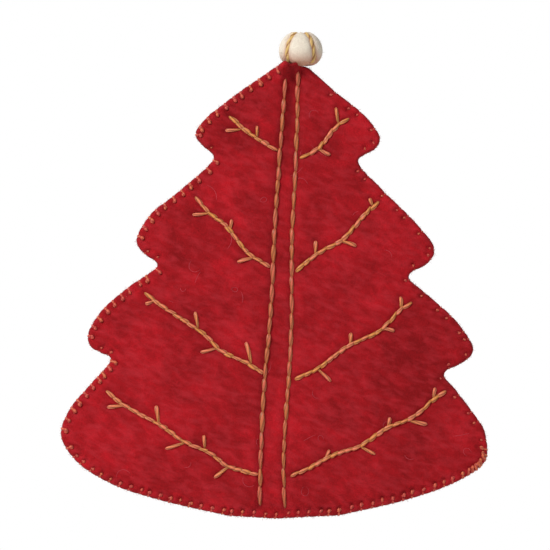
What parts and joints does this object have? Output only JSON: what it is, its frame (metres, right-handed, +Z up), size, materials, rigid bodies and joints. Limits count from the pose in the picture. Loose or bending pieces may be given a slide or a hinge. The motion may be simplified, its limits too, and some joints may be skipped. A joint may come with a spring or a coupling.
{
  "type": "felt tree ornament",
  "caption": "Flat padded felt tree ornament with an embroidered trunk and branches, an overcast edge and a lobed felt ball tied to its tip, for hanging as a seasonal decoration.",
  "frame": {"origin": "top of the felt ball on its vertical axis, where the ornament hangs", "axes": "+Z up along the tree, +X to the viewer's right, the embroidered front faces -Y"},
  "size_m": [0.1081, 0.0105, 0.1229],
  "materials": {
    "red_felt": "wool felt, matt with a short nap",
    "wadding": "loose white wadding",
    "gold_thread": "stranded embroidery thread with a soft lustre",
    "cream_felt": "wool felt, matt"
  },
  "bodies": {
    "tree": {"front_felt": "red_felt", "back_felt": "red_felt", "wadding": "wadding", "edge_stitch_left": "gold_thread", "edge_stitch_right": "gold_thread", "trunk_stitch_left": "gold_thread", "trunk_stitch_right": "gold_thread", "branch_left_1": "gold_thread", "branch_left_2": "gold_thread", "branch_left_3": "gold_thread", "branch_left_4": "gold_thread", "branch_right_1": "gold_thread", "branch_right_2": "gold_thread", "branch_right_3": "gold_thread", "branch_right_4": "gold_thread"},
    "anchor": {"anchor_thread": "gold_thread"},
    "ball": {"felt_ball": "cream_felt", "ball_wrap_thread": "gold_thread"}
  },
  "joints": [
    {"name": "ball_rock", "type": "hinge", "parent": "tree", "child": "anchor", "pos_m": [0, 0, -0.01069], "axis": [0, 1, 0], "range_deg": [-8, 8], "stiffness_Nm_per_rad": 0.0005},
    {"name": "ball_twist", "type": "hinge", "parent": "anchor", "child": "ball", "pos_m": [0, 0, -0.01069], "axis": [0, 0, 1], "range_deg": [-40, 40], "stiffness_Nm_per_rad": 0.0002}
  ]
}
